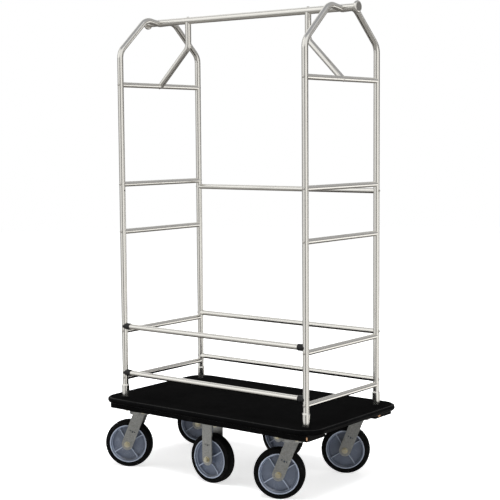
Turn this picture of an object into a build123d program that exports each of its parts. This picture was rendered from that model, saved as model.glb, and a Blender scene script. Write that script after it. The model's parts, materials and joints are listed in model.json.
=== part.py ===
from build123d import *
import math
import os

os.makedirs("parts", exist_ok=True)

# Deck, millimetres.  X runs along the cart, Y across it, Z up from the floor.
DECK_LENGTH = 1110
DECK_WIDTH = 656
DECK_CORNER = 85
DECK_TOP = 300
MAT = 3
BOARD = 19
BUMPER_WIDTH = 12
BUMPER_HEIGHT = 22
RUNNER_LENGTH = 1034
RUNNER_INNER = 178
RUNNER_OUTER = 304
RUNNER_HEIGHT = 24
CASTER_HEIGHT = DECK_TOP - MAT - BOARD - RUNNER_HEIGHT

# Superstructure.
POST_X = 475
POST_Y = 250
POST_R = 12.7
WALL = 1.5
SOCKET_R = 15.9
SOCKET_HEIGHT = 54
SOCKET_FLOOR = 12
SHOULDER_Z = DECK_TOP + 1464
HUMP_Y = 88
HUMP_Z = DECK_TOP + 1608
DIP_Z = DECK_TOP + 1595
TOP_Z = DECK_TOP + 1600
BEND_R = 58

BAR_R = 11.1
END_BARS = {
    "lower_end_rail": DECK_TOP + 82,
    "upper_end_rail": DECK_TOP + 284,
    "lower_crossbar": DECK_TOP + 709,
    "middle_crossbar": DECK_TOP + 910,
    "upper_crossbar": DECK_TOP + 1328,
}
REAR_RAILS = {
    "rear_lower_guard_rail": DECK_TOP + 104,
    "rear_upper_guard_rail": DECK_TOP + 304,
    "rear_middle_rail": DECK_TOP + 883,
}
FRONT_RAILS = {
    "front_lower_guard_rail": DECK_TOP + 104,
    "front_upper_guard_rail": DECK_TOP + 304,
}
FRONT_RAIL_R = 11.1
CUP_R = 13.6
CUP_LENGTH = 22
PLUG_LENGTH = 16
PLUG_SETBACK = 4

HANGER_R = 14.3
HANGER_STUD_R = 5
KNOB_R = 24
KNOB_OUTER_X = 552
KNOB_THICKNESS = 13
BRACE_R = 12.7
BRACE_X = 313
BRACE_BEND_Z = DECK_TOP + 1487
BRACE_BEND_R = 40

BOLT_R = 3
BOLT_HEAD_R = 5.6
DECK_BOLT_R = 4

# Casters.
WHEEL_R = 101.6
TYRE_WIDTH = 50
HUB_R = 81
HUB_HALF = 31
AXLE_R = 6.35
BORE_R = 6.42
LEG_INNER = 32
LEG_THICK = 5
LEG_WIDTH = 49
TRAIL = 55
SWIVEL_TURN = 28
SWIVEL_X = 402
SWIVEL_Y = 232
RIGID_Y = 240
PLATE_X = 114
PLATE_Y = 102
PLATE_THICK = 5
PLATE_HOLES_X = 92
PLATE_HOLES_Y = 78
CROWN_R = 50
CROWN_TOP = CASTER_HEIGHT - 15
CROWN_THICK = 6
KINGPIN_R = 8
RIB_ANGLES = (33, 123, 213, 303)

SIDES = {"left": -1, "right": 1}
CORNERS = [(sx, sy) for sx in (-1, 1) for sy in (-1, 1)]


def save(shape, name):
    export_step(shape, f"parts/{name}.step")


def rod(start, end, radius):
    """Solid cylinder between two points."""
    start, end = Vector(*start), Vector(*end)
    plane = Plane(origin=start, z_dir=end - start)
    return extrude(plane * Circle(radius), (end - start).length)


def pipe(start, end, radius):
    """Straight tube with the common wall thickness."""
    return rod(start, end, radius) - rod(start, end, radius - WALL)


def bent(points, profile, bend):
    """Profile swept along a polyline with rounded bends."""
    path = FilletPolyline(*points, radius=bend)
    start = Vector(*points[0])
    plane = Plane(origin=start, z_dir=Vector(*points[1]) - start)
    return sweep(plane * profile, path=path)


def bent_pipe(points, radius, bend):
    """Bent tube with the common wall thickness."""
    return bent(points, Circle(radius) - Circle(radius - WALL), bend)


def along(point, direction, distance):
    """Point moved a distance along a unit direction."""
    return tuple(p + distance * d for p, d in zip(point, direction))


def button_bolt(centre, direction, tube_r, reach, tube_axis):
    """Button-head bolt through a tube, head formed to the tube's outside."""
    shank = rod(along(centre, direction, -tube_r), along(centre, direction, reach), BOLT_R)
    seat = Plane(origin=along(centre, direction, 2 - tube_r), z_dir=tuple(-d for d in direction))
    head = extrude(seat * Circle(BOLT_HEAD_R), 5)
    outward = Axis(centre, tuple(-d for d in direction))
    head = fillet(head.faces().sort_by(outward)[-1].edges(), 2)
    tube = rod(along(centre, tube_axis, -30), along(centre, tube_axis, 30), tube_r)
    return shank + (head - tube)


def end_plug(centre, direction, host_r, bore_r, tube_r):
    """Threaded plug set inside a tube end that butts against a host tube."""
    near = along(centre, direction, host_r + PLUG_SETBACK)
    far = along(near, direction, PLUG_LENGTH)
    return rod(near, far, tube_r - WALL) - rod(near, far, bore_r)


def hex_head(x, y, top, thickness, radius):
    """Hexagon head hanging below a face."""
    return Pos(x, y, top - thickness) * extrude(RegularPolygon(radius, 6), thickness)


# Joints between bars and posts.  Each entry: bar centre at the post, direction into the bar.
end_joints = [((sx * POST_X, sy * POST_Y, z), (0, -sy, 0)) for sx, sy in CORNERS for z in END_BARS.values()]
rear_joints = [((sx * POST_X, POST_Y, z), (-sx, 0, 0)) for sx in (-1, 1) for z in REAR_RAILS.values()]
post_joints = end_joints + rear_joints

brace_end_z = END_BARS["upper_crossbar"]
brace_run = Vector(POST_X - BRACE_X, 0, brace_end_z - BRACE_BEND_Z).normalized()


# ---------------------------------------------------------------- deck
def deck_slab(inset, thickness, top):
    outline = RectangleRounded(DECK_LENGTH - 2 * inset, DECK_WIDTH - 2 * inset, DECK_CORNER - inset)
    return Pos(0, 0, top - thickness) * extrude(outline, thickness)


def caster_bolt_points():
    points = []
    for cx, cy in [(sx * SWIVEL_X, sy * SWIVEL_Y) for sx, sy in CORNERS] + [(0, -RIGID_Y), (0, RIGID_Y)]:
        for hx, hy in CORNERS:
            points.append((cx + hx * PLATE_HOLES_X / 2, cy + hy * PLATE_HOLES_Y / 2))
    return points


post_bolt_points = [(sx * POST_X, sy * POST_Y) for sx, sy in CORNERS]
caster_bolt_top = CASTER_HEIGHT + RUNNER_HEIGHT + 12
post_bolt_top = DECK_TOP + SOCKET_FLOOR

bolt_shanks = Compound(
    [rod((x, y, CASTER_HEIGHT - PLATE_THICK), (x, y, caster_bolt_top), DECK_BOLT_R) for x, y in caster_bolt_points()]
    + [rod((x, y, CASTER_HEIGHT), (x, y, post_bolt_top), DECK_BOLT_R) for x, y in post_bolt_points]
)
deck_bolts = [
    rod((x, y, CASTER_HEIGHT - PLATE_THICK), (x, y, caster_bolt_top), DECK_BOLT_R)
    + hex_head(x, y, CASTER_HEIGHT - PLATE_THICK, 5.5, 7.5)
    for x, y in caster_bolt_points()
] + [
    rod((x, y, CASTER_HEIGHT), (x, y, post_bolt_top), DECK_BOLT_R) + hex_head(x, y, CASTER_HEIGHT, 5.5, 7.5)
    for x, y in post_bolt_points
]
save(Compound(deck_bolts), "deck_bolts")

mat = deck_slab(BUMPER_WIDTH, MAT, DECK_TOP)
board = deck_slab(BUMPER_WIDTH, BOARD, DECK_TOP - MAT)
for shank in bolt_shanks.solids():
    board -= shank
for x, y in post_bolt_points:
    mat -= rod((x, y, DECK_TOP - 2 * MAT), (x, y, DECK_TOP + 1), SOCKET_R + 0.5)
save(mat, "deck_mat")
save(board, "deck_board")

bumper = deck_slab(0, BUMPER_HEIGHT, DECK_TOP)
bumper = fillet(bumper.faces().sort_by(Axis.Z)[-1].edges() + bumper.faces().sort_by(Axis.Z)[0].edges(), 10)
bumper -= deck_slab(BUMPER_WIDTH, BUMPER_HEIGHT + 2, DECK_TOP + 1)
save(bumper, "deck_bumper")

runner_y = (RUNNER_INNER + RUNNER_OUTER) / 2
runner_width = RUNNER_OUTER - RUNNER_INNER
for name, side in (("front_runner", -1), ("rear_runner", 1)):
    runner = Pos(0, side * runner_y, CASTER_HEIGHT + RUNNER_HEIGHT / 2) * Box(
        RUNNER_LENGTH, runner_width, RUNNER_HEIGHT
    )
    runner = chamfer(runner.edges().filter_by(Axis.Z), 3)
    for shank in bolt_shanks.solids():
        runner -= shank
    save(runner, name)

# ---------------------------------------------------------------- sockets and end frames
sockets = []
for x, y in post_bolt_points:
    profile = Polyline(
        (DECK_BOLT_R, -MAT), (SOCKET_R, -MAT), (SOCKET_R, SOCKET_HEIGHT - 6),
        (POST_R + 0.8, SOCKET_HEIGHT), (POST_R, SOCKET_HEIGHT), (POST_R, SOCKET_FLOOR), (DECK_BOLT_R, SOCKET_FLOOR),
        (DECK_BOLT_R, -MAT),
    )
    sockets.append(Pos(x, y, DECK_TOP) * revolve(Plane.XZ * make_face(profile), Axis.Z))
save(Compound(sockets), "post_sockets")

top_runs = {}
for side, sx in SIDES.items():
    x = sx * POST_X
    foot = DECK_TOP + SOCKET_FLOOR
    arch = [(x, -HUMP_Y, HUMP_Z), (x, 0, DIP_Z), (x, HUMP_Y, HUMP_Z)]
    top_runs[side] = bent(arch, Circle(POST_R), BEND_R)
    frame = bent_pipe(
        [(x, -POST_Y, foot), (x, -POST_Y, SHOULDER_Z), *arch, (x, POST_Y, SHOULDER_Z), (x, POST_Y, foot)],
        POST_R, BEND_R,
    )
    for centre, direction in post_joints:
        if centre[0] == x:
            frame -= rod(along(centre, direction, -20), along(centre, direction, 20), BOLT_R + 0.1)
    for z in FRONT_RAILS.values():
        frame -= rod((x, -POST_Y, z), (x - sx * 20, -POST_Y, z), 4.1)
    frame -= rod((x, -POST_Y, REAR_RAILS["rear_middle_rail"]), (x - sx * 20, -POST_Y, REAR_RAILS["rear_middle_rail"]), 3.1)
    frame -= rod((x - 20, 0, TOP_Z), (x + 20, 0, TOP_Z), HANGER_STUD_R + 0.1)
    save(frame, f"{side}_end_frame")

# ---------------------------------------------------------------- bars between the posts
for side, sx in SIDES.items():
    x = sx * POST_X
    for name, z in END_BARS.items():
        bar = pipe((x, -POST_Y, z), (x, POST_Y, z), BAR_R)
        for sy in (-1, 1):
            bar -= rod((x, sy * POST_Y, z - 30), (x, sy * POST_Y, z + 30), POST_R)
        if name == "upper_crossbar":
            down = (sx * brace_run.X, 0, brace_run.Z)
            bar -= rod(along((x, 0, z), down, -20), along((x, 0, z), down, 20), BOLT_R + 0.1)
        save(bar, f"{side}_{name}")

for name, z in REAR_RAILS.items():
    rail = pipe((-POST_X, POST_Y, z), (POST_X, POST_Y, z), BAR_R)
    for sx in (-1, 1):
        rail -= rod((sx * POST_X, POST_Y, z - 30), (sx * POST_X, POST_Y, z + 30), POST_R)
    save(rail, name)

rail_end = POST_X - POST_R - 8
for name, z in FRONT_RAILS.items():
    save(pipe((-rail_end, -POST_Y, z), (rail_end, -POST_Y, z), FRONT_RAIL_R), name)

cups = []
for sx in (-1, 1):
    for z in FRONT_RAILS.values():
        x = sx * POST_X
        cup = rod((x, -POST_Y, z), (x - sx * (POST_R + CUP_LENGTH), -POST_Y, z), CUP_R)
        cup = fillet(cup.edges().filter_by(GeomType.CIRCLE).sort_by(Axis.X)[0 if sx > 0 else -1], 1.5)
        cup -= rod((x, -POST_Y, z - 30), (x, -POST_Y, z + 30), POST_R)
        cup -= rod((sx * rail_end, -POST_Y, z), (x - sx * 60, -POST_Y, z), FRONT_RAIL_R)
        cup += rod((x - sx * (POST_R - 3), -POST_Y, z), (x - sx * (POST_R + 4), -POST_Y, z), 4)
        cups.append(cup)
save(Compound(cups), "front_rail_cups")

# ---------------------------------------------------------------- hanger bar, braces and knobs
hanger = pipe((0.5 - POST_X, 0, TOP_Z), (POST_X - 0.5, 0, TOP_Z), HANGER_R)
for side, sx in SIDES.items():
    hanger -= top_runs[side]
    hanger -= rod((sx * BRACE_X, 0, TOP_Z - 30), (sx * BRACE_X, 0, TOP_Z + 30), BOLT_R + 0.1)
save(hanger, "hanger_bar")

for side, sx in SIDES.items():
    x = sx * POST_X
    brace = bent_pipe(
        [(sx * BRACE_X, 0, TOP_Z - 1), (sx * BRACE_X, 0, BRACE_BEND_Z), (x, 0, brace_end_z)], BRACE_R, BRACE_BEND_R
    )
    brace -= rod((sx * BRACE_X - 40, 0, TOP_Z), (sx * BRACE_X + 40, 0, TOP_Z), HANGER_R)
    brace -= rod((x, -40, brace_end_z), (x, 40, brace_end_z), BAR_R)
    save(brace, f"{side}_brace")

    neck = rod((x + sx * 0.5, 0, TOP_Z), (sx * (KNOB_OUTER_X - 5), 0, TOP_Z), HANGER_R)
    neck -= top_runs[side]
    disc = rod((sx * (KNOB_OUTER_X - KNOB_THICKNESS), 0, TOP_Z), (sx * KNOB_OUTER_X, 0, TOP_Z), KNOB_R)
    ends = disc.edges().filter_by(GeomType.CIRCLE).sort_by(Axis.X)
    disc = fillet(ends[-1 if sx > 0 else 0], 7)
    ends = disc.edges().filter_by(GeomType.CIRCLE).filter_by(lambda e: abs(e.radius - KNOB_R) < 0.01)
    disc = fillet(ends.sort_by(Axis.X)[0 if sx > 0 else -1], 4)
    stud = rod((x - sx * (POST_R + PLUG_SETBACK + PLUG_LENGTH), 0, TOP_Z), (sx * (KNOB_OUTER_X - 5), 0, TOP_Z),
               HANGER_STUD_R)
    save(neck + disc + stud, f"{side}_end_knob")

# ---------------------------------------------------------------- bolts and plugs
bolts, plugs = [], []
bolt_reach = POST_R + PLUG_SETBACK + PLUG_LENGTH
for centre, direction in post_joints:
    bolts.append(button_bolt(centre, direction, POST_R, bolt_reach, (0, 0, 1)))
    plugs.append(end_plug(centre, direction, POST_R, BOLT_R, BAR_R))
for sx in (-1, 1):
    top = (sx * BRACE_X, 0, TOP_Z)
    bolts.append(button_bolt(top, (0, 0, -1), HANGER_R, HANGER_R + PLUG_SETBACK + PLUG_LENGTH, (1, 0, 0)))
    plugs.append(end_plug(top, (0, 0, -1), HANGER_R, BOLT_R, BRACE_R))
    foot = (sx * POST_X, 0, brace_end_z)
    upward = (-sx * brace_run.X, 0, -brace_run.Z)
    bolts.append(button_bolt(foot, upward, BAR_R, BAR_R + PLUG_SETBACK + PLUG_LENGTH, (0, 1, 0)))
    plugs.append(end_plug(foot, upward, BAR_R, BOLT_R, BRACE_R))
    plugs.append(end_plug((sx * POST_X, 0, TOP_Z), (-sx, 0, 0), POST_R, HANGER_STUD_R, HANGER_R))
save(Compound(bolts), "rail_bolts")
save(Compound(plugs), "tube_end_plugs")


# ---------------------------------------------------------------- casters
def mount_plate():
    plate = Pos(0, 0, CASTER_HEIGHT - PLATE_THICK / 2) * Box(PLATE_X, PLATE_Y, PLATE_THICK)
    plate = fillet(plate.edges().filter_by(Axis.Z), 8)
    for hx, hy in CORNERS:
        x, y = hx * PLATE_HOLES_X / 2, hy * PLATE_HOLES_Y / 2
        plate -= rod((x, y, CASTER_HEIGHT - 10), (x, y, CASTER_HEIGHT + 1), DECK_BOLT_R + 0.3)
    return plate


def swivel_plate():
    """Mounting plate with raceway boss, kingpin and kingpin nut."""
    raceway = rod((0, 0, CROWN_TOP + 0.4), (0, 0, CASTER_HEIGHT - PLATE_THICK), 42)
    raceway = chamfer(raceway.edges().group_by(Axis.Z)[0], 2)
    pin_end = CROWN_TOP - CROWN_THICK - 12
    pin = rod((0, 0, pin_end), (0, 0, CASTER_HEIGHT - 1), KINGPIN_R)
    nut = Pos(0, 0, CROWN_TOP - CROWN_THICK - 0.4 - 8) * extrude(RegularPolygon(14, 6), 8)
    return mount_plate() + raceway + pin + nut


def leg(top, offset):
    """One flat fork leg with a rounded foot about the axle, in the XZ plane."""
    lean = math.degrees(math.atan2(offset, CROWN_TOP - WHEEL_R))
    shape = Pos(0, LEG_WIDTH * 2) * Rectangle(LEG_WIDTH, LEG_WIDTH * 4) + Circle(LEG_WIDTH / 2)
    shape -= Circle(AXLE_R + 0.05)
    shape -= Pos(-9, 62) * Circle(3)
    shape -= Pos(2, 60) * Rectangle(6, 8)
    shape -= Pos(11, 62) * Rectangle(4, 5)
    plane = Plane(origin=(-offset, LEG_INNER, WHEEL_R), x_dir=(1, 0, 0), z_dir=(0, -1, 0))
    plate = extrude(plane * (Rot(0, 0, -lean) * shape), -LEG_THICK)
    trim = Pos(0, 0, top + 200) * Box(800, 800, 400)
    return plate - trim


def fork(top, offset):
    side = leg(top, offset)
    return side + mirror(side, Plane.XZ)


def swivel_fork():
    crown = rod((0, 0, CROWN_TOP - CROWN_THICK), (0, 0, CROWN_TOP), CROWN_R)
    skirt = rod((0, 0, CROWN_TOP - CROWN_THICK), (0, 0, CROWN_TOP + 6), CROWN_R)
    skirt -= rod((0, 0, CROWN_TOP - CROWN_THICK), (0, 0, CROWN_TOP + 7), CROWN_R - 4)
    body = crown + skirt + fork(CROWN_TOP - CROWN_THICK / 2, TRAIL)
    body -= rod((0, 0, CROWN_TOP - 30), (0, 0, CROWN_TOP + 10), KINGPIN_R + 0.05)
    return body


def axle(offset):
    """Axle bolt with head, nut and washers, along Y."""
    outer = LEG_INNER + LEG_THICK
    bolt = rod((-offset, -outer - 14, WHEEL_R), (-offset, outer + 9, WHEEL_R), AXLE_R)
    for sy in (-1, 1):
        bolt += rod((-offset, sy * outer, WHEEL_R), (-offset, sy * (outer + 2), WHEEL_R), 13)
        plane = Plane(origin=(-offset, sy * (outer + 2), WHEEL_R), z_dir=(0, sy, 0))
        bolt += extrude(plane * RegularPolygon(10.5, 6), 8)
    return bolt


def on_axle(shape, offset):
    """Stand a wheel made flat, with its axis along Z, on the axle."""
    return Pos(-offset, 0, WHEEL_R) * Rot(90, 0, 0) * shape


def hub():
    upper = [(BORE_R, HUB_HALF), (18, HUB_HALF), (22, 9), (69, 6), (75, 21), (77, 23), (HUB_R, 23)]
    lower = [(r, -z) for r, z in reversed(upper)]
    outline = Polyline(*upper, *lower, close=True)
    body = revolve(Plane.XZ * make_face(outline), Axis.Z)
    web = [(19, 2), (19, 25), (34, 17), (60, 13), (74, 16), (74, 2)]
    rib = extrude(Plane.XZ * make_face(Polyline(*web, close=True)), 2, both=True)
    rib += mirror(rib, Plane.XY)
    for angle in RIB_ANGLES:
        body += Rot(0, 0, angle) * rib
    return body


def tyre():
    half = TYRE_WIDTH / 2
    section = Pos((HUB_R + WHEEL_R) / 2, 0) * Rectangle(WHEEL_R - HUB_R, TYRE_WIDTH)
    corners = section.vertices().sort_by(Axis.X)
    section = fillet(corners[2:], 11)
    section = fillet(section.vertices().sort_by(Axis.X)[:2], 3)
    return revolve(Plane.XZ * section, Axis.Z)


def place(shape, x, y, turn):
    return Pos(x, y, 0) * Rot(0, 0, turn) * shape


hub_shape, tyre_shape = hub(), tyre()
for end, sy in (("front", -1), ("rear", 1)):
    for side, sx in SIDES.items():
        name = f"{end}_{side}"
        x, y = sx * SWIVEL_X, sy * SWIVEL_Y
        save(place(swivel_plate(), x, y, 0), f"{name}_caster_plate")
        save(place(swivel_fork(), x, y, SWIVEL_TURN), f"{name}_caster_fork")
        save(place(axle(TRAIL), x, y, SWIVEL_TURN), f"{name}_axle")
        save(place(on_axle(hub_shape, TRAIL), x, y, SWIVEL_TURN), f"{name}_hub")
        save(place(on_axle(tyre_shape, TRAIL), x, y, SWIVEL_TURN), f"{name}_tyre")

    name = f"{end}_middle"
    rigid = mount_plate() + fork(CASTER_HEIGHT - PLATE_THICK / 2, 0)
    save(place(rigid, 0, sy * RIGID_Y, 0), f"{name}_caster_fork")
    save(place(axle(0), 0, sy * RIGID_Y, 0), f"{name}_axle")
    save(place(on_axle(hub_shape, 0), 0, sy * RIGID_Y, 0), f"{name}_hub")
    save(place(on_axle(tyre_shape, 0), 0, sy * RIGID_Y, 0), f"{name}_tyre")
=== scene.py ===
import json
import math

import bmesh
import bpy
import numpy as np
from mathutils import Matrix, Vector


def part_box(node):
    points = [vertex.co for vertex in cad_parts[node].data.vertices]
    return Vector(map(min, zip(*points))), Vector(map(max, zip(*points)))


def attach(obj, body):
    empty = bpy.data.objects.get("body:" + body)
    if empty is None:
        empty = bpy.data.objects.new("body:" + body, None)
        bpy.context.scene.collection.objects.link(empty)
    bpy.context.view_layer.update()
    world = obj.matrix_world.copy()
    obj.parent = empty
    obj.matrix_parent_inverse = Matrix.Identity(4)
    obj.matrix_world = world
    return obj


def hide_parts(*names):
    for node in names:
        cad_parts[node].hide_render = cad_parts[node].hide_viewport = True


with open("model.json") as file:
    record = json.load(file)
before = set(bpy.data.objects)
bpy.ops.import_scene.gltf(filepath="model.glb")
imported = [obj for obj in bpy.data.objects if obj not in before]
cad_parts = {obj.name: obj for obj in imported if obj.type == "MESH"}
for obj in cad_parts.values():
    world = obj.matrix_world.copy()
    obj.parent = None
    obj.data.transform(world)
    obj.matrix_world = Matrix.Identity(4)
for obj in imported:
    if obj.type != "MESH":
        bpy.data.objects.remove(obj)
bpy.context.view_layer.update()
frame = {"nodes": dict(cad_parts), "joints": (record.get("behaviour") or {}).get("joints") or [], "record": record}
nodes = frame["nodes"]
joints = {joint["name"]: joint for joint in frame["joints"]}
MM = 0.001
SKIN_CREASE = 40
FASTENER_CREASE = 35
WELD_GAP = 1e-6
ENDS = ("front", "rear")
SIDES = ("left", "right")


# ------------------------------------------------------------------ surfaces
def surface(name, grid, close_rows=True):
    """Skin over a grid of points, one quad between each four neighbours.  The last column always joins
    the first, and with close_rows the last row joins the first too.  The sign of the enclosed volume
    decides which way the faces turn."""
    rows, columns = grid.shape[:2]
    index = np.arange(rows * columns).reshape(rows, columns)
    if close_rows:
        index = np.vstack([index, index[:1]])
    index = np.hstack([index, index[:, :1]])
    quads = np.stack([index[:-1, :-1], index[:-1, 1:], index[1:, 1:], index[1:, :-1]], -1).reshape(-1, 4)
    points = grid.reshape(-1, 3)
    a, b, c, d = (points[quads[:, k]] for k in range(4))
    volume = np.einsum("ij,ij->", a, np.cross(b, c)) + np.einsum("ij,ij->", a, np.cross(c, d))
    if volume < 0:
        quads = quads[:, ::-1]
    mesh = bpy.data.meshes.new(name)
    mesh.from_pydata(points.tolist(), [], quads.tolist())
    mesh.validate()
    mesh.shade_smooth()
    mesh.set_sharp_from_angle(angle=math.radians(SKIN_CREASE))
    piece = bpy.data.objects.new(name, mesh)
    bpy.context.scene.collection.objects.link(piece)
    return piece


def smoothstep(low, high, value):
    """Cubic ease from 0 at low to 1 at high, 3t^2 - 2t^3."""
    t = np.clip((value - low) / (high - low), 0, 1)
    return t * t * (3 - 2 * t)


def wheel_space(joint, radius, angle, across):
    """Points around a wheel's axle: centre + axle * across + (forward cos angle + up sin angle) * radius."""
    centre = np.array(joint["pos_m"], float)
    axle = np.array(joint["axis"], float)
    axle /= np.linalg.norm(axle)
    up = np.array([0.0, 0.0, 1.0])
    forward = np.cross(up, axle)
    radius, angle, across = np.broadcast_arrays(radius, angle, across)
    spoke = forward * np.cos(angle)[..., None] + up * np.sin(angle)[..., None]
    return centre + axle * across[..., None] + spoke * radius[..., None]


def turns(count):
    """Evenly spaced angles once round a circle, in radians."""
    return np.linspace(0, 2 * np.pi, count, endpoint=False)


# ------------------------------------------------------------------ wheels
TYRE_OUTER = 101.6 * MM
TYRE_INNER = 81.0 * MM
TYRE_HALF = 24.9 * MM
TREAD_GROOVES = (-13.5 * MM, 13.5 * MM)
SIDE_RINGS = (86.0 * MM, 93.5 * MM)
RIB_ANGLES = np.radians([33, 123, 213, 303])


def tyre(name, joint):
    """Solid cushion tyre.  Its section is a superellipse, |across/half|^4.2 + |radial|^3.4 = 1, whose
    outer half is the tread and whose inner half is flat against the wheel.  Two rounded grooves run
    round the tread, a fine mould line sits on its middle and two rings stand on each side wall."""
    t = np.linspace(-np.pi / 2, np.pi / 2, 96)
    across = TYRE_HALF * np.sign(np.sin(t)) * np.abs(np.sin(t)) ** (2 / 4.2)
    lift = np.abs(np.cos(t)) ** (2 / 3.4)
    radius = TYRE_INNER + (TYRE_OUTER - TYRE_INNER) * lift
    for groove in TREAD_GROOVES:
        radius -= 0.9 * MM * np.exp(-(((across - groove) / (0.9 * MM)) ** 2)) * (lift > 0.9)
    radius -= 0.35 * MM * (np.abs(across) < 0.5 * MM)
    for ring in SIDE_RINGS:
        bead = np.exp(-(((radius - ring) / (0.9 * MM)) ** 2)) * (lift < 0.9)
        across -= 0.7 * MM * np.sign(across) * (1 - bead) * (lift < 0.9) * 0.6
    back = np.linspace(across[-1], across[0], 8)[1:-1]
    radius = np.concatenate([radius, np.full(len(back), TYRE_INNER + 0.02 * MM)])
    across = np.concatenate([across, back])
    grid = wheel_space(joint, radius[:, None], turns(168)[None, :], across[:, None])
    return surface(name, grid)


def hub(name, joint):
    """Dished wheel centre, the same on both faces.  Height over the middle plane is a web that falls
    outwards, plus a boss inside 22 mm and a rim outside 69 mm, both eased in, and it is lifted to the
    ribs' top line within 2 mm of each rib's centre plane, with drafted sides.  A point value on the mesh
    is 1 along the ribs' crests, the rim's lip and its outer edge, and the finish paints a highlight there."""
    near = np.radians(np.linspace(-11, 11, 45))
    angle = np.concatenate([turns(96)] + [(rib + near) % (2 * np.pi) for rib in RIB_ANGLES])
    angle = np.unique(np.round(angle, 5))[None, :]
    radius = np.concatenate([
        np.linspace(6.45, 16.6, 5), np.linspace(17, 24, 12), np.linspace(26, 66, 14),
        np.linspace(67, 77.5, 18), np.linspace(78, 81, 5),
    ])[:, None]
    web = 9 - 3 * (radius - 22) / 47
    boss = (31 - web) * (1 - smoothstep(17.4, 22.8, radius)) - 1.2 * smoothstep(15.5, 18, radius)
    rim = (23 - web) * smoothstep(68.5, 75.5, radius) - 0.8 * smoothstep(79.6, 81, radius)
    lip = 0.9 * np.exp(-(((radius - 72) / 1.3) ** 2))
    face = np.minimum(web + np.maximum(boss, 0) + rim + lip, 31)
    crest = np.interp(radius, [17, 19, 34, 60, 74, 81], [0, 25, 17, 13.5, 17, 0])
    offset = np.min([np.where(np.cos(angle - rib) > 0, radius * np.abs(np.sin(angle - rib)), 99.0)
                     for rib in RIB_ANGLES], axis=0)
    rib = np.maximum(crest - face, 0) * (1 - smoothstep(1.8, 3.1, offset))
    foot = np.minimum(np.maximum(crest - face, 0), 3) * 0.5 * np.exp(-(np.maximum(offset - 2, 0) / 2.0))
    height = (face + np.maximum(rib, foot)) * MM
    # Painted highlight mask: 1 on the ribs' crests, the rim's lip and its outer edge, where light would catch
    # them.
    edge = np.exp(-((offset / 1.7) ** 2)) * (rib > 0.5) + smoothstep(0.55, 0.95, lip + 0 * angle)
    edge = np.maximum(edge, smoothstep(76, 77.5, radius) + 0 * angle)
    radius = np.broadcast_to(radius, height.shape) * MM
    radius = np.concatenate([radius, radius[::-1]])
    height = np.concatenate([height, -height[::-1]])
    piece = surface(name, wheel_space(joint, radius, np.broadcast_to(angle, radius.shape), height))
    crest_highlight = piece.data.attributes.new("crest_highlight", "FLOAT", "POINT")
    crest_highlight.data.foreach_set("value", np.concatenate([edge, edge[::-1]]).ravel().astype(np.float32))
    return piece


# ------------------------------------------------------------------ deck edge
def bumper_edge(name, low, high, corner, width, height):
    """Bullnose vinyl edge: its section is a superellipse outside and flat inside, with a shallow crease
    where it laps the mat, carried round a rectangle whose corners are quarter circles."""
    quarter = np.linspace(0, np.pi / 2, 28)
    centres = [(1, 1), (-1, 1), (-1, -1), (1, -1)]
    half = ((high[0] - low[0]) / 2 - corner, (high[1] - low[1]) / 2 - corner)
    along = np.linspace(0, 1, 60, endpoint=False)[1:, None]
    arcs = [(np.array([sx * half[0], sy * half[1]]), quarter + k * np.pi / 2)
            for k, (sx, sy) in enumerate(centres)]
    origins, normals = [], []
    for k, (centre, angle) in enumerate(arcs):
        normal = np.stack([np.cos(angle), np.sin(angle)], -1)
        origins.append(np.repeat(centre[None], len(angle), 0))
        normals.append(normal)
        following = arcs[(k + 1) % 4][0]
        origins.append(centre + (following - centre) * along)
        normals.append(np.repeat(normal[-1:], len(along), 0))
    origin, normal = np.concatenate(origins), np.concatenate(normals)
    t = np.linspace(-np.pi / 2, np.pi / 2, 40)
    out = width * np.abs(np.cos(t)) ** (2 / 2.2)
    rise = height / 2 * np.sign(np.sin(t)) * np.abs(np.sin(t)) ** (2 / 2.6)
    rise -= 0.5 * MM * np.exp(-((out - 1.6 * MM) / (0.7 * MM)) ** 2) * np.sign(rise)
    inner = np.linspace(rise[-1], rise[0], 8)[1:-1]
    out = np.concatenate([out, np.full(len(inner), 0.0)])
    rise = np.concatenate([rise, inner])
    path = origin[:, None, :] + normal[:, None, :] * (corner - width + out)[None, :, None]
    middle = (low[2] + high[2]) / 2
    grid = np.concatenate([path, np.broadcast_to(middle + rise, path.shape[:2])[..., None]], -1)
    return surface(name, grid)


# ------------------------------------------------------------------ fasteners and balls
BOLT_HEAD_R = 5.6 * MM
BOLT_SHANK_R = 3.0 * MM
BOLT_STAND = 3.0 * MM
SOCKET_FLAT = 1.9 * MM
SOCKET_DEEP = 1.9 * MM


def button_bolt(seat, outward, side, reach):
    """Rings of points of one button-head bolt about its axis, from the socket's floor out over the dome,
    r = R cos(a) at height stand * (0.3 + 0.7 sin(a)), down the skirt, under the head and along the
    shank to its end.  A socket ring is a hexagon, r = flat / cos(angle folded to 30 degrees), and the
    others are circles.  Heights are measured from the seat, the tube's outermost line."""
    dome = np.radians(np.linspace(64, 4, 9))
    top = BOLT_STAND * (0.3 + 0.7 * np.sin(dome))
    ring = np.concatenate([[0, SOCKET_FLAT, SOCKET_FLAT, SOCKET_FLAT * 1.15], BOLT_HEAD_R * np.cos(dome),
                           [BOLT_HEAD_R, BOLT_SHANK_R, BOLT_SHANK_R, BOLT_SHANK_R - 0.6 * MM, 0]])
    height = np.concatenate([[BOLT_STAND - SOCKET_DEEP] * 2, [top[0] - 0.25 * MM, top[0]], top,
                             [-2 * MM, -2 * MM, 0.8 * MM - reach, -reach, -reach]])
    hexagonal = np.zeros(len(ring))
    hexagonal[:4] = [1, 1, 1, 0.5]
    angle = turns(36)
    fold = np.mod(angle + np.pi / 6, np.pi / 3) - np.pi / 6
    radius = ring[:, None] * (1 + hexagonal[:, None] * (1 / np.cos(fold) - 1))
    seat, outward, side = (np.array(v, float) for v in (seat, outward, side))
    spoke = side * np.cos(angle)[:, None] + np.cross(outward, side) * np.sin(angle)[:, None]
    return seat + radius[..., None] * spoke + outward * height[:, None, None]


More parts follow.
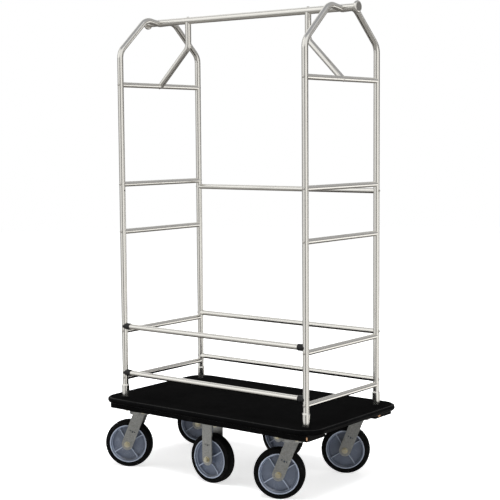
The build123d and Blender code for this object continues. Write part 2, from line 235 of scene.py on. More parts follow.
def joined(name, pieces):
    """Several closed ring surfaces of the same size in one mesh.  Each is skinned on its own grid, with
    its end rings drawn together to points, and the copies are laid side by side in the index arrays."""
    rows, columns = pieces[0].shape[:2]
    index = np.arange(rows * columns).reshape(rows, columns)
    index = np.hstack([index, index[:, :1]])
    quads = np.stack([index[:-1, :-1], index[:-1, 1:], index[1:, 1:], index[1:, :-1]], -1).reshape(-1, 4)
    p = pieces[0].reshape(-1, 3)
    p = p - p.mean(0)
    a, b, c, d = (p[quads[:, k]] for k in range(4))
    if np.einsum("ij,ij->", a, np.cross(b, c)) + np.einsum("ij,ij->", a, np.cross(c, d)) < 0:
        quads = quads[:, ::-1]
    offsets = np.arange(len(pieces))[:, None, None] * rows * columns
    mesh = bpy.data.meshes.new(name)
    mesh.from_pydata(np.concatenate([piece.reshape(-1, 3) for piece in pieces]).tolist(), [],
                     (quads[None] + offsets).reshape(-1, 4).tolist())
    merged = bmesh.new()
    merged.from_mesh(mesh)
    bmesh.ops.remove_doubles(merged, verts=merged.verts, dist=WELD_GAP)
    merged.to_mesh(mesh)
    merged.free()
    mesh.shade_smooth()
    mesh.set_sharp_from_angle(angle=math.radians(FASTENER_CREASE))
    piece = bpy.data.objects.new(name, mesh)
    bpy.context.scene.collection.objects.link(piece)
    return piece


def bearing_ball(centre, radius):
    """Rings of a ball: radius sin(a) at height radius cos(a), from pole to pole."""
    lift = np.linspace(0, np.pi, 9)[:, None]
    angle = turns(12)[None, :]
    ring = radius * np.sin(lift)
    return np.array(centre, float) + np.stack(
        [ring * np.cos(angle), ring * np.sin(angle), np.broadcast_to(radius * np.cos(lift), (9, 12))], -1)


# ------------------------------------------------------------------ shader building
def add(tree, kind, links=None, **settings):
    """One node.  Settings are its own properties, links maps its inputs to values or other outputs."""
    made = tree.nodes.new(kind)
    for name, value in settings.items():
        setattr(made, name, value)
    for name, value in (links or {}).items():
        if isinstance(value, bpy.types.NodeSocket):
            tree.links.new(value, made.inputs[name])
        else:
            made.inputs[name].default_value = value
    return made


def maths(tree, operation, first, second=0.0, clamp=False):
    """One arithmetic step on two values."""
    return add(tree, "ShaderNodeMath", {0: first, 1: second}, operation=operation, use_clamp=clamp).outputs[0]


def scaled(tree, value, low, high):
    """Value from 0..1 spread over low..high."""
    return add(tree, "ShaderNodeMapRange", {"Value": value, "To Min": low, "To Max": high}).outputs["Result"]


def threshold(tree, value, low, high):
    """Soft step of a value between low and high."""
    made = add(tree, "ShaderNodeMapRange", {"Value": value, "From Min": low, "From Max": high},
               interpolation_type="SMOOTHSTEP")
    return made.outputs["Result"]


def blend(tree, factor, first, second):
    """Mix of two colours by a factor."""
    made = add(tree, "ShaderNodeMix", data_type="RGBA")
    for socket, value in ((made.inputs[0], factor), (made.inputs[6], first), (made.inputs[7], second)):
        if isinstance(value, bpy.types.NodeSocket):
            tree.links.new(value, socket)
        else:
            socket.default_value = value if isinstance(value, float) else (*value, 1.0)
    return made.outputs[2]


def noise(tree, vector, scale, detail=3.0, roughness=0.55):
    """Soft noise over the given coordinates."""
    made = add(tree, "ShaderNodeTexNoise",
               {"Vector": vector, "Scale": scale, "Detail": detail, "Roughness": roughness})
    return made.outputs["Fac"]


def group(name, inputs, outputs):
    """Empty node group with its sockets; returns the tree, its inputs and its output node."""
    tree = bpy.data.node_groups.new(name, "ShaderNodeTree")
    for socket, kind, value in inputs:
        made = tree.interface.new_socket(socket, in_out="INPUT", socket_type=kind)
        if value is not None:
            made.default_value = value
    for socket in outputs:
        tree.interface.new_socket(socket, in_out="OUTPUT", socket_type="NodeSocketFloat")
    entry = tree.nodes.new("NodeGroupInput")
    return tree, entry.outputs, tree.nodes.new("NodeGroupOutput")


VECTOR, FLOAT = "NodeSocketVector", "NodeSocketFloat"


def polishing_grain():
    """Fine parallel lines left by a polishing belt: two noises stretched along the grain."""
    tree, given, out = group("polishing_grain", [("Vector", VECTOR, None), ("Stretch", VECTOR, (1, 1, 0.02)),
                                                 ("Scale", FLOAT, 900.0)], ["Fine", "Broad"])
    drawn = add(tree, "ShaderNodeVectorMath", {0: given["Vector"], 1: given["Stretch"]}, operation="MULTIPLY")
    fine = noise(tree, drawn.outputs[0], given["Scale"], 4.0, 0.7)
    broad = noise(tree, drawn.outputs[0], maths(tree, "MULTIPLY", given["Scale"], 0.09), 3.0, 0.6)
    tree.links.new(threshold(tree, fine, 0.3, 0.7), out.inputs["Fine"])
    tree.links.new(threshold(tree, broad, 0.32, 0.68), out.inputs["Broad"])
    return tree


def hand_marks():
    """Cloudy patches where hands and cloths have dulled the finish."""
    tree, given, out = group("hand_marks", [("Vector", VECTOR, None), ("Scale", FLOAT, 14.0),
                                            ("Cover", FLOAT, 0.5)], ["Mask"])
    cloud = noise(tree, given["Vector"], given["Scale"], 6.0, 0.62)
    low = maths(tree, "SUBTRACT", 0.78, maths(tree, "MULTIPLY", given["Cover"], 0.4))
    high = maths(tree, "ADD", low, 0.16)
    made = add(tree, "ShaderNodeMapRange", {"Value": cloud, "From Min": low, "From Max": high},
               interpolation_type="SMOOTHSTEP")
    tree.links.new(made.outputs["Result"], out.inputs["Mask"])
    return tree


def fine_scratches():
    """Hairline scratches: the cell borders of a warped cell pattern, kept only in scattered patches."""
    tree, given, out = group("fine_scratches", [("Vector", VECTOR, None), ("Scale", FLOAT, 60.0),
                                                ("Width", FLOAT, 0.02)], ["Mask"])
    warp = add(tree, "ShaderNodeTexNoise", {"Vector": given["Vector"], "Scale": 25.0, "Detail": 2.0})
    shifted = add(tree, "ShaderNodeVectorMath", {0: warp.outputs["Color"], 1: given["Vector"], 3: 0.06},
                  operation="SCALE")
    moved = add(tree, "ShaderNodeVectorMath", {0: given["Vector"], 1: shifted.outputs[0]}, operation="ADD")
    cells = add(tree, "ShaderNodeTexVoronoi", {"Vector": moved.outputs[0], "Scale": given["Scale"]},
                feature="DISTANCE_TO_EDGE")
    edge = maths(tree, "LESS_THAN", cells.outputs["Distance"], given["Width"])
    patches = threshold(tree, noise(tree, given["Vector"], 22.0, 3.0), 0.5, 0.62)
    tree.links.new(maths(tree, "MULTIPLY", edge, patches), out.inputs["Mask"])
    return tree


def settled_dust():
    """Dust on faces that look up, thinned by a cloudy noise."""
    tree, given, out = group("settled_dust", [("Vector", VECTOR, None), ("Normal", VECTOR, None),
                                              ("Amount", FLOAT, 0.3)], ["Mask"])
    upward = threshold(tree, add(tree, "ShaderNodeSeparateXYZ", {0: given["Normal"]}).outputs["Z"], 0.1, 1.0)
    cloud = threshold(tree, noise(tree, given["Vector"], 9.0, 8.0, 0.7), 0.35, 0.75)
    grit = threshold(tree, noise(tree, given["Vector"], 700.0, 2.0), 0.55, 0.75)
    cover = maths(tree, "MULTIPLY", upward, maths(tree, "ADD", cloud, maths(tree, "MULTIPLY", grit, 0.6)))
    tree.links.new(maths(tree, "MULTIPLY", cover, given["Amount"], clamp=True), out.inputs["Mask"])
    return tree


def moulded_grain():
    """Small rounded pebbles of a moulded or rolled surface, with a softer swell under them."""
    tree, given, out = group("moulded_grain", [("Vector", VECTOR, None), ("Scale", FLOAT, 900.0)],
                             ["Pebble", "Swell"])
    cells = add(tree, "ShaderNodeTexVoronoi", {"Vector": given["Vector"], "Scale": given["Scale"]},
                feature="SMOOTH_F1")
    tree.links.new(threshold(tree, cells.outputs["Distance"], 0.1, 0.75), out.inputs["Pebble"])
    swell = noise(tree, given["Vector"], maths(tree, "MULTIPLY", given["Scale"], 0.04), 4.0)
    tree.links.new(swell, out.inputs["Swell"])
    return tree


GRAIN, MARKS, SCRATCHES = polishing_grain(), hand_marks(), fine_scratches()
DUST, PEBBLES = settled_dust(), moulded_grain()


def use(tree, shared, **values):
    """A shared group placed in a material with its own values."""
    made = tree.nodes.new("ShaderNodeGroup")
    made.node_tree = shared
    for name, value in values.items():
        if isinstance(value, bpy.types.NodeSocket):
            tree.links.new(value, made.inputs[name])
        else:
            made.inputs[name].default_value = value
    return made.outputs


def material(name, **constants):
    """Material with a Principled shader whose constants are set on its own sockets."""
    made = bpy.data.materials.new(name)
    made.use_nodes = True
    tree = made.node_tree
    shader = tree.nodes["Principled BSDF"]
    for socket, value in constants.items():
        shader.inputs[socket.replace("_", " ")].default_value = value
    place = tree.nodes.new("ShaderNodeTexCoord")
    normal = tree.nodes.new("ShaderNodeNewGeometry").outputs["Normal"]
    return made, tree, shader, place.outputs["Object"], normal


def finish(tree, shader, colour, roughness, height, depth):
    """Colour, roughness and a bump of the given depth in metres."""
    tree.links.new(colour, shader.inputs["Base Color"])
    tree.links.new(roughness, shader.inputs["Roughness"])
    bump = add(tree, "ShaderNodeBump", {"Height": height, "Distance": depth, "Strength": 1.0})
    tree.links.new(bump.outputs["Normal"], shader.inputs["Normal"])


# ------------------------------------------------------------------ finishes
def polished_stainless(name, stretch, sheen=0.17):
    """Belt-polished stainless tube: fine lines along the tube, duller where it is handled."""
    made, tree, shader, place, normal = material(name, Metallic=1.0)
    grain = use(tree, GRAIN, Vector=place, Stretch=stretch, Scale=1400.0)
    marks = use(tree, MARKS, Vector=place, Scale=17.0, Cover=0.55)["Mask"]
    hairs = use(tree, SCRATCHES, Vector=place, Scale=55.0, Width=0.012)["Mask"]
    dust = use(tree, DUST, Vector=place, Normal=normal, Amount=0.05)["Mask"]
    colour = blend(tree, grain["Fine"], (0.715, 0.70, 0.67), (0.79, 0.775, 0.745))
    colour = blend(tree, scaled(tree, grain["Broad"], 0.0, 0.2), colour, (0.66, 0.645, 0.62))
    colour = blend(tree, maths(tree, "MULTIPLY", marks, 0.14), colour, (0.55, 0.53, 0.49))
    colour = blend(tree, dust, colour, (0.46, 0.43, 0.39))
    rough = maths(tree, "ADD", scaled(tree, grain["Fine"], sheen, sheen + 0.05),
                  scaled(tree, marks, 0.0, 0.07))
    rough = maths(tree, "ADD", rough, maths(tree, "MULTIPLY", hairs, 0.1), clamp=True)
    height = maths(tree, "SUBTRACT", grain["Fine"], maths(tree, "MULTIPLY", hairs, 0.8))
    finish(tree, shader, colour, rough, height, 0.000004)
    return made


def screw_steel(name):
    """Stainless screw heads: turned, with darker handling marks."""
    made, tree, shader, place, _ = material(name, Metallic=1.0)
    grain = use(tree, GRAIN, Vector=place, Stretch=(1.0, 1.0, 1.0), Scale=1800.0)
    marks = use(tree, MARKS, Vector=place, Scale=240.0, Cover=0.5)["Mask"]
    colour = blend(tree, marks, (0.62, 0.60, 0.575), (0.40, 0.385, 0.36))
    rough = scaled(tree, grain["Fine"], 0.2, 0.36)
    finish(tree, shader, colour, rough, grain["Fine"], 0.00003)
    return made


def zinc_plate(name):
    """Zinc-plated pressed steel: faint crystal patches, a slightly green cast and grey handling."""
    made, tree, shader, place, normal = material(name, Metallic=0.9)
    cells = add(tree, "ShaderNodeTexVoronoi", {"Vector": place, "Scale": 260.0}).outputs["Color"]
    spangle = add(tree, "ShaderNodeSeparateColor", {"Color": cells}).outputs["Red"]
    marks = use(tree, MARKS, Vector=place, Scale=45.0, Cover=0.6)["Mask"]
    hairs = use(tree, SCRATCHES, Vector=place, Scale=90.0, Width=0.02)["Mask"]
    dust = use(tree, DUST, Vector=place, Normal=normal, Amount=0.5)["Mask"]
    colour = blend(tree, spangle, (0.25, 0.252, 0.246), (0.33, 0.332, 0.322))
    colour = blend(tree, maths(tree, "MULTIPLY", marks, 0.5), colour, (0.23, 0.227, 0.21))
    colour = blend(tree, maths(tree, "MULTIPLY", hairs, 0.5), colour, (0.60, 0.60, 0.57))
    colour = blend(tree, dust, colour, (0.30, 0.27, 0.23))
    rough = maths(tree, "ADD", scaled(tree, spangle, 0.36, 0.46), scaled(tree, marks, 0.0, 0.12))
    height = maths(tree, "ADD", spangle, noise(tree, place, 900.0, 4.0))
    finish(tree, shader, colour, rough, height, 0.00004)
    return made


def yellow_zinc(name):
    """Yellow-passivated zinc on bolts, nuts and washers, paler in random patches and darker where handled."""
    made, tree, shader, place, _ = material(name, Metallic=0.95)
    tint = noise(tree, place, 130.0, 4.0)
    marks = use(tree, MARKS, Vector=place, Scale=160.0, Cover=0.5)["Mask"]
    colour = blend(tree, threshold(tree, tint, 0.35, 0.65), (0.54, 0.48, 0.33), (0.55, 0.53, 0.44))
    colour = blend(tree, maths(tree, "MULTIPLY", marks, 0.7), colour, (0.34, 0.30, 0.22))
    rough = scaled(tree, tint, 0.22, 0.46)
    finish(tree, shader, colour, rough, noise(tree, place, 1500.0, 3.0), 0.00003)
    return made


def hub_plastic(name):
    """Slate blue-grey moulded nylon: fine mould texture, flow clouding, road dust, and a painted highlight along
    the ribs' crests and the rim's lip.
    """
    made, tree, shader, place, normal = material(name, IOR=1.5)
    moulded = use(tree, PEBBLES, Vector=place, Scale=1100.0)
    marks = use(tree, MARKS, Vector=place, Scale=38.0, Cover=0.6)["Mask"]
    hairs = use(tree, SCRATCHES, Vector=place, Scale=80.0, Width=0.016)["Mask"]
    dust = use(tree, DUST, Vector=place, Normal=normal, Amount=0.6)["Mask"]
    colour = blend(tree, moulded["Swell"], (0.060, 0.074, 0.108), (0.088, 0.106, 0.148))
    colour = blend(tree, maths(tree, "MULTIPLY", marks, 0.35), colour, (0.07, 0.08, 0.11))
    colour = blend(tree, maths(tree, "MULTIPLY", hairs, 0.4), colour, (0.30, 0.32, 0.38))
    # Painted highlight: the ribs' crests, the rim's lip and its outer edge are lightened to pale slate, as if
    # light caught them.
    crest_highlight = add(tree, "ShaderNodeAttribute", attribute_name="crest_highlight").outputs["Fac"]
    colour = blend(tree, scaled(tree, crest_highlight, 0.0, 0.75), colour, (0.33, 0.37, 0.45))
    colour = blend(tree, dust, colour, (0.27, 0.265, 0.27))
    rough = maths(tree, "ADD", scaled(tree, moulded["Pebble"], 0.30, 0.40), scaled(tree, marks, 0.0, 0.14))
    finish(tree, shader, colour, rough, moulded["Pebble"], 0.00006)
    return made


def tyre_rubber(name):
    """Black cushion rubber: scuffed grey in cloudy patches, matt side walls, a little dust."""
    made, tree, shader, place, normal = material(name, Specular_IOR_Level=0.04)
    moulded = use(tree, PEBBLES, Vector=place, Scale=1500.0)
    marks = use(tree, MARKS, Vector=place, Scale=30.0, Cover=0.65)["Mask"]
    hairs = use(tree, SCRATCHES, Vector=place, Scale=70.0, Width=0.03)["Mask"]
    dust = use(tree, DUST, Vector=place, Normal=normal, Amount=0.08)["Mask"]
    colour = blend(tree, moulded["Swell"], (0.0011, 0.0011, 0.0013), (0.0026, 0.0026, 0.0028))
    colour = blend(tree, maths(tree, "MULTIPLY", marks, 0.45), colour, (0.005, 0.0049, 0.0047))
    colour = blend(tree, maths(tree, "MULTIPLY", hairs, 0.3), colour, (0.03, 0.029, 0.028))
    colour = blend(tree, dust, colour, (0.045, 0.042, 0.039))
    rough = maths(tree, "ADD", scaled(tree, moulded["Pebble"], 0.48, 0.6), scaled(tree, marks, 0.0, 0.14))
    finish(tree, shader, colour, rough, moulded["Pebble"], 0.00012)
    return made


def black_lacquer(name, bare_spots):
    """Black lacquered wood with a faint grain telegraphing through, rubbed to bare wood at the spots.
    A spot is a point, a radius and how much it is squeezed along X, Y and Z; noise breaks up its edge."""
    made, tree, shader, place, normal = material(name, Specular_IOR_Level=0.03)
    grain = use(tree, GRAIN, Vector=place, Stretch=(0.05, 1.0, 1.0), Scale=420.0)
    marks = use(tree, MARKS, Vector=place, Scale=12.0, Cover=0.5)["Mask"]
    hairs = use(tree, SCRATCHES, Vector=place, Scale=40.0, Width=0.012)["Mask"]
    dust = use(tree, DUST, Vector=place, Normal=normal, Amount=0.08)["Mask"]
    wood = blend(tree, grain["Fine"], (0.27, 0.14, 0.07), (0.50, 0.31, 0.18))
    paint = blend(tree, grain["Broad"], (0.0006, 0.0006, 0.0007), (0.0014, 0.0014, 0.0015))
    paint = blend(tree, maths(tree, "MULTIPLY", hairs, 0.35), paint, (0.025, 0.025, 0.024))
    paint = blend(tree, dust, paint, (0.03, 0.0285, 0.027))
    ragged = maths(tree, "MULTIPLY", noise(tree, place, 260.0, 5.0), 0.008)
    bare = 0.0
    for spot, reach, squeeze in bare_spots:
        offset = add(tree, "ShaderNodeVectorMath", {0: place, 1: spot}, operation="SUBTRACT").outputs[0]
        offset = add(tree, "ShaderNodeVectorMath", {0: offset, 1: squeeze}, operation="MULTIPLY").outputs[0]
        away = add(tree, "ShaderNodeVectorMath", {0: offset}, operation="LENGTH").outputs["Value"]
        depth = maths(tree, "SUBTRACT", reach, maths(tree, "ADD", away, ragged))
        inside = threshold(tree, depth, 0.0, 0.0015)
        bare = maths(tree, "MAXIMUM", bare, inside)
    colour = blend(tree, bare, paint, wood)
    rough = maths(tree, "ADD", scaled(tree, grain["Fine"], 0.36, 0.44), scaled(tree, marks, 0.0, 0.2))
    finish(tree, shader, colour, rough, grain["Fine"], 0.00008)
    return made


def deck_rubber(name):
    """Black deck mat: fine pebbled rubber, greyed in soft patches where luggage slides."""
    made, tree, shader, place, normal = material(name, Specular_IOR_Level=0.01)
    pebbled = use(tree, PEBBLES, Vector=place, Scale=620.0)
    marks = use(tree, MARKS, Vector=place, Scale=7.0, Cover=0.6)["Mask"]
    hairs = use(tree, SCRATCHES, Vector=place, Scale=28.0, Width=0.01)["Mask"]
    dust = use(tree, DUST, Vector=place, Normal=normal, Amount=0.03)["Mask"]
    colour = blend(tree, pebbled["Swell"], (0.0004, 0.0004, 0.00045), (0.0011, 0.0011, 0.0012))
    colour = blend(tree, maths(tree, "MULTIPLY", marks, 0.4), colour, (0.0022, 0.0022, 0.0022))
    colour = blend(tree, maths(tree, "MULTIPLY", hairs, 0.3), colour, (0.014, 0.0135, 0.013))
    colour = blend(tree, dust, colour, (0.025, 0.0235, 0.022))
    rough = maths(tree, "ADD", scaled(tree, pebbled["Pebble"], 0.72, 0.84), scaled(tree, marks, 0.0, 0.12))
    finish(tree, shader, colour, rough, pebbled["Pebble"], 0.0003)
    return made


def edge_vinyl(name):
    """Semi-gloss black vinyl edge: smooth, with rub marks from doorways."""
    made, tree, shader, place, normal = material(name, Specular_IOR_Level=0.025)
    moulded = use(tree, PEBBLES, Vector=place, Scale=1300.0)
    marks = use(tree, MARKS, Vector=place, Scale=16.0, Cover=0.6)["Mask"]
    hairs = use(tree, SCRATCHES, Vector=place, Scale=48.0, Width=0.016)["Mask"]
    dust = use(tree, DUST, Vector=place, Normal=normal, Amount=0.04)["Mask"]
    colour = blend(tree, moulded["Swell"], (0.0004, 0.0004, 0.0005), (0.0009, 0.0009, 0.0011))
    colour = blend(tree, maths(tree, "MULTIPLY", hairs, 0.4), colour, (0.012, 0.012, 0.0117))
    colour = blend(tree, dust, colour, (0.02, 0.02, 0.02))
    rough = maths(tree, "ADD", scaled(tree, moulded["Pebble"], 0.24, 0.31), scaled(tree, marks, 0.0, 0.18))
    finish(tree, shader, colour, rough, moulded["Pebble"], 0.00004)
    return made


def cup_plastic(name):
    """Satin black moulded plastic."""
    made, tree, shader, place, _ = material(name, Specular_IOR_Level=0.3)
    moulded = use(tree, PEBBLES, Vector=place, Scale=1600.0)
    marks = use(tree, MARKS, Vector=place, Scale=90.0, Cover=0.5)["Mask"]
    colour = blend(tree, marks, (0.005, 0.005, 0.0055), (0.011, 0.011, 0.011))
    rough = scaled(tree, moulded["Pebble"], 0.34, 0.5)
    finish(tree, shader, colour, rough, moulded["Pebble"], 0.00008)
    return made


def pale_floor(name):
    """Pale studio floor with the faintest unevenness."""
    made, tree, shader, place, _ = material(name, Emission_Color=(1, 1, 1, 1), Emission_Strength=0.66)
    cloud = noise(tree, place, 3.0, 4.0)
    colour = blend(tree, cloud, (0.93, 0.93, 0.93), (0.96, 0.96, 0.96))
    finish(tree, shader, colour, scaled(tree, cloud, 0.7, 0.8), noise(tree, place, 300.0), 0.0002)
    return made


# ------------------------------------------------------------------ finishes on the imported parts
def paint(node, finish_material):
    """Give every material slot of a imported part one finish."""
    piece = nodes[node]
    if not piece.material_slots:
        piece.data.materials.append(finish_material)
    for place in piece.material_slots:
        place.material = finish_material


SPOT_REACH = 11 * MM
runner_low, runner_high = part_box("front_runner")
rear_low, rear_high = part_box("rear_runner")
runner_middle = (runner_low.z + runner_high.z) / 2
spots = [
    (Vector((runner_high.x - 1 * MM, runner_low.y + 1 * MM, runner_middle)), SPOT_REACH, (2.0, 2.0, 0.85)),
    (Vector((rear_high.x, rear_low.y + 30 * MM, runner_middle - 4 * MM)), SPOT_REACH, (1.0, 0.75, 1.7)),
]
post_steel = polished_stainless("post_stainless", (1.0, 1.0, 0.015))
cross_steel = polished_stainless("crossbar_stainless", (1.0, 0.015, 1.0))
rail_steel = polished_stainless("rail_stainless", (0.015, 1.0, 1.0))
turned_steel = polished_stainless("knob_stainless", (0.05, 1.0, 1.0), sheen=0.12)
finishes = {
    "bolt_steel": screw_steel("screw_steel"),
    "black_painted_board": black_lacquer("black_lacquer", spots),
    "deck_mat": deck_rubber("deck_rubber"),
    "deck_bumper": edge_vinyl("edge_vinyl"),
    "black_plastic": cup_plastic("cup_plastic"),
    "zinc_caster": zinc_plate("zinc_plate"),
    "zinc_hardware": yellow_zinc("yellow_zinc"),
    "wheel_hub": hub_plastic("hub_plastic"),
    "wheel_tyre": tyre_rubber("tyre_rubber"),
}
for part in frame["record"]["subparts"]:
    node, slot = part["node"], part["material_slot"]
    if slot != "stainless_tube":
        paint(node, finishes[slot])
    elif "knob" in node:
        paint(node, turned_steel)
    elif node.endswith(("end_frame", "brace", "sockets")):
        paint(node, post_steel)
    elif node.endswith("crossbar") or node.endswith("end_rail"):
        paint(node, cross_steel)
    else:
        paint(node, rail_steel)


def fit_out(piece, body, replaced, slot):
    """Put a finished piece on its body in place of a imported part, in that part's finish."""
    piece.data.materials.append(finishes[slot])
    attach(piece, body)
    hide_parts(replaced)


for end in ENDS:
    for side in ("left", "middle", "right"):
        wheel = f"{end}_{side}"
        spin = joints[f"{wheel}_wheel_spin"]
        fit_out(tyre(f"{wheel}_cushion_tyre", spin), f"{wheel}_wheel", f"{wheel}_tyre", "wheel_tyre")
        fit_out(hub(f"{wheel}_ribbed_hub", spin), f"{wheel}_wheel", f"{wheel}_hub", "wheel_hub")

DECK_CORNER = 85 * MM
edge_low, edge_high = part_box("deck_bumper")
mat_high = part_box("deck_mat")[1]
edge = bumper_edge("deck_edge", edge_low, edge_high, DECK_CORNER, edge_high.x - mat_high.x,
                   edge_high.z - edge_low.z)
fit_out(edge, "cart", "deck_bumper", "deck_bumper")

# Button-head bolts: through each post into the bars and rails, down through the garment bar into the
# braces, and up through the upper crossbars into the braces' feet.
BOLT_REACH = 33 * MM
BRACE_BEND_Z = 1787 * MM
END_BARS = ("lower_end_rail", "upper_end_rail", "lower_crossbar", "middle_crossbar", "upper_crossbar")
REAR_RAILS = ("rear_lower_guard_rail", "rear_upper_guard_rail", "rear_middle_rail")


def middle(node):
    """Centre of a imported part's box."""
    low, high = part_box(node)
    return (low + high) / 2


bolts = []
for side, sx in (("left", -1), ("right", 1)):
    low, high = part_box(f"{side}_end_frame")
    post_r = (high.x - low.x) / 2
    post_x = (high.x + low.x) / 2
    for sy in (-1, 1):
        post_y = (high.y if sy > 0 else low.y) - sy * post_r
        for bar in END_BARS:
            seat = (post_x, post_y + sy * post_r, middle(f"{side}_{bar}").z)
            bolts.append(button_bolt(seat, (0, sy, 0), (0, 0, 1), BOLT_REACH + post_r))
    for rail in REAR_RAILS:
        seat = (post_x + sx * post_r, high.y - post_r, middle(rail).z)
        bolts.append(button_bolt(seat, (sx, 0, 0), (0, 0, 1), BOLT_REACH + post_r))
    brace_low, brace_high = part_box(f"{side}_brace")
    brace_x = (brace_low.x if sx > 0 else brace_high.x) + sx * post_r
    bar_low, bar_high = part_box("hanger_bar")
    bolts.append(button_bolt((brace_x, 0, bar_high.z), (0, 0, 1), (1, 0, 0), BOLT_REACH + post_r))
    foot = middle(f"{side}_upper_crossbar")
    bar_r = (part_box(f"{side}_upper_crossbar")[1].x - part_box(f"{side}_upper_crossbar")[0].x) / 2
    away = (foot - Vector((brace_x, 0, BRACE_BEND_Z))).normalized()
    bolts.append(button_bolt(foot + away * bar_r, away, (0, 1, 0), BOLT_REACH + bar_r))
fit_out(joined("button_bolts", bolts), "cart", "rail_bolts", "bolt_steel")

# Swivel races: a ring of balls between each plate's boss and its fork's rim.
BALL_R = 1.75 * MM
RACE_R = 44 * MM
RACE_Z = 242.2 * MM
RACE_BALLS = 28
for end in ENDS:
    for side in SIDES:
        pivot = joints[f"{end}_{side}_swivel"]["pos_m"]
        balls = []
        for a in turns(RACE_BALLS):
            centre = (pivot[0] + RACE_R * math.cos(a), pivot[1] + RACE_R * math.sin(a), RACE_Z)
            balls.append(bearing_ball(centre, BALL_R))
        race = joined(f"{end}_{side}_ball_race", balls)
        race.data.materials.append(finishes["bolt_steel"])
        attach(race, f"{end}_{side}_fork")


# ------------------------------------------------------------------ studio
PANELS = (  # centre and half width as azimuth degrees, lowest and highest Z of the direction, shade
    (-12, 33, -0.60, 0.40, (1.08, 1.07, 1.03)),
    (-110, 34, -0.36, 0.40, (0.88, 0.88, 0.86)),
    (178, 24, -0.36, 0.40, (0.42, 0.42, 0.42)),
    (57, 13, -0.48, -0.02, (1.45, 1.43, 1.38)),
    (0, 180, 0.24, 2.00, (1.02, 1.02, 1.00)),
    (70, 50, 0.16, 2.00, (0.48, 0.48, 0.48)),
    (-134, 26, 0.10, 2.00, (1.20, 1.20, 1.17)),
    (-168, 14, 0.20, 2.00, (0.56, 0.56, 0.56)),
    (0, 180, 0.82, 2.00, (0.44, 0.45, 0.47)),
    (0, 180, -2.00, -0.46, (0.36, 0.35, 0.33)),
    (120, 52, -2.00, -0.50, (0.14, 0.13, 0.12)),
)
PANEL_SOFT = 6
PANEL_FADE = 0.06
DIFFUSE_SHARE = 0.42
FLOOR_RADIUS = 14.0


def studio_world():
    """White backdrop for the camera.  For light and reflections it is a dim studio hung with soft-edged
    panels: a tall bright one on the right, a paler one on the left, an overhead dome and a dark floor."""
    world = bpy.data.worlds.new("studio")
    bpy.context.scene.world = world
    world.use_nodes = True
    tree = world.node_tree
    tree.nodes.clear()
    look = tree.nodes.new("ShaderNodeTexCoord").outputs["Generated"]
    height = add(tree, "ShaderNodeSeparateXYZ", {0: look}).outputs["Z"]
    level = add(tree, "ShaderNodeVectorMath", {0: look, 1: (1.0, 1.0, 0.0)}, operation="MULTIPLY").outputs[0]
    level = add(tree, "ShaderNodeVectorMath", {0: level}, operation="NORMALIZE").outputs[0]
    glow = (0.20, 0.195, 0.19)
    for azimuth, half, low, high, shade in PANELS:
        above = threshold(tree, height, low - PANEL_FADE, low + PANEL_FADE)
        beyond = threshold(tree, height, high - PANEL_FADE, high + PANEL_FADE)
        band = maths(tree, "MULTIPLY", above, maths(tree, "SUBTRACT", 1.0, beyond))
        if half < 180:
            toward = (math.cos(math.radians(azimuth)), math.sin(math.radians(azimuth)), 0.0)
            facing = add(tree, "ShaderNodeVectorMath", {0: level, 1: toward}, operation="DOT_PRODUCT")
            window = threshold(tree, facing.outputs["Value"], math.cos(math.radians(half + PANEL_SOFT)),
                               math.cos(math.radians(half - PANEL_SOFT)))
            band = maths(tree, "MULTIPLY", band, window)
        glow = blend(tree, band, glow, shade)
    rays = tree.nodes.new("ShaderNodeLightPath").outputs
    colour = blend(tree, rays["Is Camera Ray"], glow, (1.0, 1.0, 1.0))
    strength = scaled(tree, rays["Is Diffuse Ray"], 1.0, DIFFUSE_SHARE)
    background = add(tree, "ShaderNodeBackground", {"Color": colour, "Strength": strength})
    output = tree.nodes.new("ShaderNodeOutputWorld")
    tree.links.new(background.outputs["Background"], output.inputs["Surface"])


def soft_light(name, place, target, size, power, colour):
    """Rectangular soft light aimed at a point."""
    lamp = bpy.data.lights.new(name, "AREA")
    lamp.shape, lamp.size, lamp.size_y = "RECTANGLE", size[0], size[1]
    lamp.energy, lamp.color = power, colour
    piece = bpy.data.objects.new(name, lamp)
    bpy.context.scene.collection.objects.link(piece)
    piece.location = place
    piece.rotation_euler = (Vector(target) - Vector(place)).to_track_quat("-Z", "Y").to_euler()
    piece.visible_glossy = False


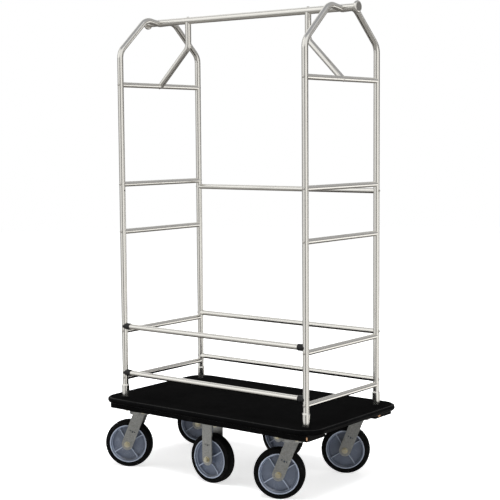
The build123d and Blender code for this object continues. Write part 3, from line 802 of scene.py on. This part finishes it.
def aimed_camera(place, yaw, pitch, roll, lens):
    """Camera turned by yaw about Z, tipped down by pitch and rolled about its own axis, in degrees."""
    yaw, pitch, roll = (math.radians(angle) for angle in (yaw, pitch, roll))
    forward = Vector((-math.sin(yaw) * math.cos(pitch), math.cos(yaw) * math.cos(pitch), -math.sin(pitch)))
    right = Vector((math.cos(yaw), math.sin(yaw), 0.0))
    upward = right.cross(forward)
    right, upward = (right * math.cos(roll) + upward * math.sin(roll),
                     upward * math.cos(roll) - right * math.sin(roll))
    lens_data = bpy.data.cameras.new("camera")
    lens_data.lens, lens_data.sensor_width = lens, 36.0
    lens_data.clip_end = 50.0
    camera = bpy.data.objects.new("camera", lens_data)
    bpy.context.scene.collection.objects.link(camera)
    turn = Matrix((right, upward, -forward)).transposed().to_4x4()
    camera.matrix_world = Matrix.Translation(place) @ turn
    bpy.context.scene.camera = camera


def floor_disc(radius):
    """Flat pale disc whose radius grows ring by ring, r = R t^2, around the cart."""
    t = np.linspace(0.02, 1, 14)[:, None]
    angle = turns(96)[None, :]
    reach = radius * t * t
    flat = np.zeros(reach.shape[:1] + angle.shape[1:])
    rim = np.stack([reach * np.cos(angle), reach * np.sin(angle), flat], -1)
    floor = surface("floor", np.concatenate([np.zeros((1, 96, 3)), rim]), close_rows=False)
    floor.data.materials.append(pale_floor("pale_floor"))
    floor.visible_glossy = False


studio_world()
soft_light("overhead", (0.6, -0.9, 4.2), (0, 0, 0.4), (2.8, 2.0), 290, (0.96, 0.98, 1.0))
soft_light("left_fill", (-3.4, -2.6, 1.9), (0, 0, 0.7), (2.0, 2.4), 25, (1.0, 1.0, 1.0))
soft_light("right_key", (4.2, -0.6, 2.0), (0, 0, 0.7), (1.6, 2.6), 30, (1.0, 0.99, 0.97))
soft_light("back_fill", (-0.6, 3.8, 2.6), (0, 0, 0.8), (2.4, 1.8), 25, (1.0, 1.0, 1.0))
floor_disc(FLOOR_RADIUS)
aimed_camera((3.1603, -4.0196, 1.4053), 38.06, 5.255, -0.43, 88.519)
bpy.context.scene.view_settings.view_transform = "Standard"
